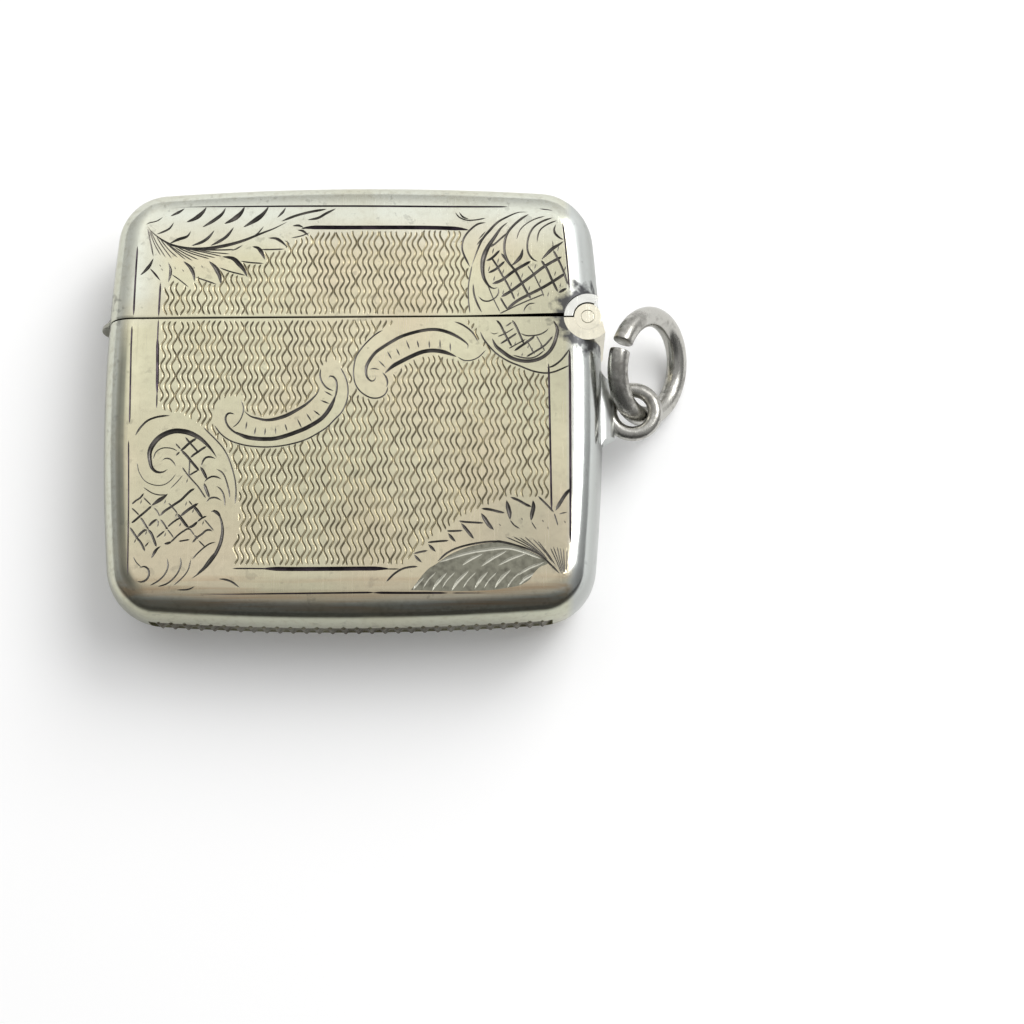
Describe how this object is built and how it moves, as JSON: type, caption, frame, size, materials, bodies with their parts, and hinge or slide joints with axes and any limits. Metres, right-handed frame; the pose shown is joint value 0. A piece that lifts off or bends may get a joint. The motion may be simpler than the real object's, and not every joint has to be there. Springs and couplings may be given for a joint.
{
  "type": "vesta case",
  "caption": "Flat silver pocket match case with rounded corners, a sprung lid hinged at one side, a ridged striker in the base and a ring on a side loop.",
  "frame": {"origin": "centre of the flat back, on which the case lies", "axes": "+X to the hinge and ring side, +Y to the lid end, +Z out of the front"},
  "size_m": [0.0524, 0.0399, 0.0096],
  "materials": {
    "engraved_silver": "worn polished silver with engraved ornament, dark in the cuts",
    "plain_silver": "plain polished silver",
    "dull_silver": "tarnished silver wire and strip",
    "spring_steel": "blued steel leaf"
  },
  "bodies": {
    "case_body": {"body_front_shell": "engraved_silver", "body_back_shell": "engraved_silver", "striker_plate": "dull_silver", "body_hinge_bearer": "plain_silver", "body_knuckle_front": "plain_silver", "body_knuckle_rear": "plain_silver", "hinge_pin": "dull_silver", "lid_spring": "spring_steel", "ring_boss": "plain_silver", "ring_loop": "dull_silver"},
    "lid": {"lid_front_shell": "engraved_silver", "lid_back_shell": "engraved_silver", "thumb_lip": "plain_silver", "lid_hinge_bearer": "plain_silver", "lid_knuckle": "plain_silver"},
    "ring": {"jump_ring": "dull_silver"}
  },
  "joints": [
    {"name": "lid_hinge", "type": "hinge", "parent": "case_body", "child": "lid", "pos_m": [0.0207, 0.00705, 0.0048], "axis": [0, 0, -1], "range_deg": [0, 55]},
    {"name": "ring_swing", "type": "hinge", "parent": "case_body", "child": "ring", "pos_m": [0.0247, -0.0004, 0.0048], "axis": [0, 0, 1], "range_deg": [-140, 0]}
  ]
}
